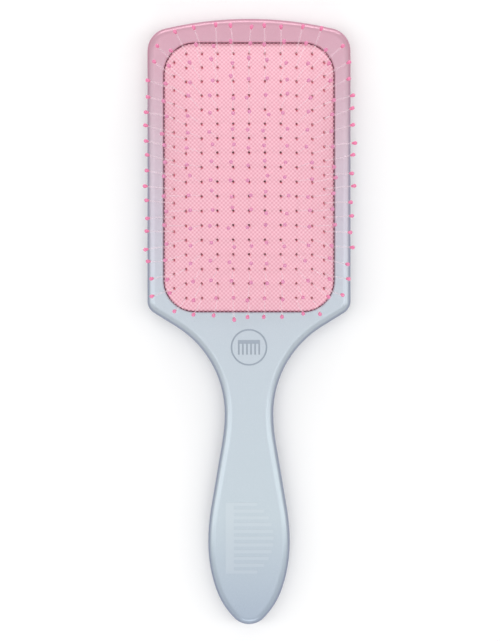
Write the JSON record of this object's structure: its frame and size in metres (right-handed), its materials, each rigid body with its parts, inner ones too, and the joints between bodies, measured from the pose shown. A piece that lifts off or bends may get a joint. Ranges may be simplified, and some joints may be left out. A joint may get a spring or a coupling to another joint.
{
  "type": "paddle hair brush",
  "caption": "Flat paddle hair brush with an air-cushioned rubber pad and ball-tipped pins, for detangling and smoothing hair.",
  "frame": {"origin": "middle of the brush's outline, on the surface that its back rests on", "axes": "+Y from the handle's end to the top of the head, +Z out of the cushion along the pins, X across the head"},
  "size_m": [0.0906, 0.2652, 0.0415],
  "materials": {
    "shell_plastic": "satin, fading along the length",
    "clamp_plastic": "as moulded",
    "cushion_rubber": "fine dimpled",
    "pin_nylon": "smooth, slightly translucent",
    "tip_nylon": "glossy"
  },
  "bodies": {
    "brush_body": {"front_shell": "shell_plastic", "back_shell": "shell_plastic", "cushion_clamp_frame": "clamp_plastic"},
    "cushion": {"cushion_pad": "cushion_rubber"},
    "line_left_edge": {"pins_left_edge": "pin_nylon", "tips_left_edge": "tip_nylon"},
    "line_right_edge": {"pins_right_edge": "pin_nylon", "tips_right_edge": "tip_nylon"},
    "line_left_1": {"pins_left_1": "pin_nylon", "tips_left_1": "tip_nylon"},
    "line_right_1": {"pins_right_1": "pin_nylon", "tips_right_1": "tip_nylon"},
    "line_top_1": {"pins_top_1": "pin_nylon", "tips_top_1": "tip_nylon"},
    "line_bottom_1": {"pins_bottom_1": "pin_nylon", "tips_bottom_1": "tip_nylon"},
    "line_left_2": {"pins_left_2": "pin_nylon", "tips_left_2": "tip_nylon"},
    "line_right_2": {"pins_right_2": "pin_nylon", "tips_right_2": "tip_nylon"},
    "line_top_2": {"pins_top_2": "pin_nylon", "tips_top_2": "tip_nylon"},
    "line_bottom_2": {"pins_bottom_2": "pin_nylon", "tips_bottom_2": "tip_nylon"},
    "line_left_3": {"pins_left_3": "pin_nylon", "tips_left_3": "tip_nylon"},
    "line_right_3": {"pins_right_3": "pin_nylon", "tips_right_3": "tip_nylon"},
    "line_top_3": {"pins_top_3": "pin_nylon", "tips_top_3": "tip_nylon"},
    "line_bottom_3": {"pins_bottom_3": "pin_nylon", "tips_bottom_3": "tip_nylon"},
    "line_left_4": {"pins_left_4": "pin_nylon", "tips_left_4": "tip_nylon"},
    "line_right_4": {"pins_right_4": "pin_nylon", "tips_right_4": "tip_nylon"},
    "line_top_4": {"pins_top_4": "pin_nylon", "tips_top_4": "tip_nylon"},
    "line_bottom_4": {"pins_bottom_4": "pin_nylon", "tips_bottom_4": "tip_nylon"},
    "line_centre": {"pins_centre": "pin_nylon", "tips_centre": "tip_nylon"}
  },
  "joints": [
    {"name": "cushion_press", "type": "slide", "parent": "brush_body", "child": "cushion", "axis": [0, 0, 1], "range_m": [-0.003, 0], "stiffness_N_per_m": 1500, "deforming": ["cushion_pad"]},
    {"name": "lean_left_edge", "type": "hinge", "parent": "cushion", "child": "line_left_edge", "pos_m": [-0.0327, 0.06388, 0.01366], "axis": [0, -1, 0], "range_deg": [-5, 12], "stiffness_Nm_per_rad": 0.01},
    {"name": "lean_right_edge", "type": "hinge", "parent": "cushion", "child": "line_right_edge", "pos_m": [0.0327, 0.06388, 0.01366], "axis": [0, 1, 0], "range_deg": [-5, 12], "stiffness_Nm_per_rad": 0.01},
    {"name": "lean_left_1", "type": "hinge", "parent": "cushion", "child": "line_left_1", "pos_m": [-0.0274, 0.06358, 0.01616], "axis": [0, -1, 0], "range_deg": [-5, 12], "stiffness_Nm_per_rad": 0.01},
    {"name": "lean_right_1", "type": "hinge", "parent": "cushion", "child": "line_right_1", "pos_m": [0.0274, 0.06358, 0.01616], "axis": [0, 1, 0], "range_deg": [-5, 12], "stiffness_Nm_per_rad": 0.01},
    {"name": "lean_top_1", "type": "hinge", "parent": "cushion", "child": "line_top_1", "pos_m": [0, 0.11685, 0.01274], "axis": [-1, 0, 0], "range_deg": [-5, 12], "stiffness_Nm_per_rad": 0.01},
    {"name": "lean_bottom_1", "type": "hinge", "parent": "cushion", "child": "line_bottom_1", "pos_m": [0, 0.0103, 0.01315], "axis": [1, 0, 0], "range_deg": [-5, 12], "stiffness_Nm_per_rad": 0.01},
    {"name": "lean_left_2", "type": "hinge", "parent": "cushion", "child": "line_left_2", "pos_m": [-0.02055, 0.06358, 0.0185], "axis": [0, -1, 0], "range_deg": [-5, 12], "stiffness_Nm_per_rad": 0.01},
    {"name": "lean_right_2", "type": "hinge", "parent": "cushion", "child": "line_right_2", "pos_m": [0.02055, 0.06358, 0.0185], "axis": [0, 1, 0], "range_deg": [-5, 12], "stiffness_Nm_per_rad": 0.01},
    {"name": "lean_top_2", "type": "hinge", "parent": "cushion", "child": "line_top_2", "pos_m": [0, 0.11058, 0.01503], "axis": [-1, 0, 0], "range_deg": [-5, 12], "stiffness_Nm_per_rad": 0.01},
    {"name": "lean_bottom_2", "type": "hinge", "parent": "cushion", "child": "line_bottom_2", "pos_m": [0, 0.01657, 0.0154], "axis": [1, 0, 0], "range_deg": [-5, 12], "stiffness_Nm_per_rad": 0.01},
    {"name": "lean_left_3", "type": "hinge", "parent": "cushion", "child": "line_left_3", "pos_m": [-0.0137, 0.06358, 0.01984], "axis": [0, -1, 0], "range_deg": [-5, 12], "stiffness_Nm_per_rad": 0.01},
    {"name": "lean_right_3", "type": "hinge", "parent": "cushion", "child": "line_right_3", "pos_m": [0.0137, 0.06358, 0.01984], "axis": [0, 1, 0], "range_deg": [-5, 12], "stiffness_Nm_per_rad": 0.01},
    {"name": "lean_top_3", "type": "hinge", "parent": "cushion", "child": "line_top_3", "pos_m": [0, 0.10432, 0.01698], "axis": [-1, 0, 0], "range_deg": [-5, 12], "stiffness_Nm_per_rad": 0.01},
    {"name": "lean_bottom_3", "type": "hinge", "parent": "cushion", "child": "line_bottom_3", "pos_m": [0, 0.02284, 0.01727], "axis": [1, 0, 0], "range_deg": [-5, 12], "stiffness_Nm_per_rad": 0.01},
    {"name": "lean_left_4", "type": "hinge", "parent": "cushion", "child": "line_left_4", "pos_m": [-0.00685, 0.06358, 0.02047], "axis": [0, -1, 0], "range_deg": [-5, 12], "stiffness_Nm_per_rad": 0.01},
    {"name": "lean_right_4", "type": "hinge", "parent": "cushion", "child": "line_right_4", "pos_m": [0.00685, 0.06358, 0.02047], "axis": [0, 1, 0], "range_deg": [-5, 12], "stiffness_Nm_per_rad": 0.01},
    {"name": "lean_top_4", "type": "hinge", "parent": "cushion", "child": "line_top_4", "pos_m": [0, 0.09805, 0.01847], "axis": [-1, 0, 0], "range_deg": [-5, 12], "stiffness_Nm_per_rad": 0.01},
    {"name": "lean_bottom_4", "type": "hinge", "parent": "cushion", "child": "line_bottom_4", "pos_m": [0, 0.0291, 0.01869], "axis": [1, 0, 0], "range_deg": [-5, 12], "stiffness_Nm_per_rad": 0.01},
    {"name": "lean_centre", "type": "hinge", "parent": "cushion", "child": "line_centre", "pos_m": [0, 0.06358, 0.02051], "axis": [0, 1, 0], "range_deg": [-5, 5], "stiffness_Nm_per_rad": 0.01}
  ]
}
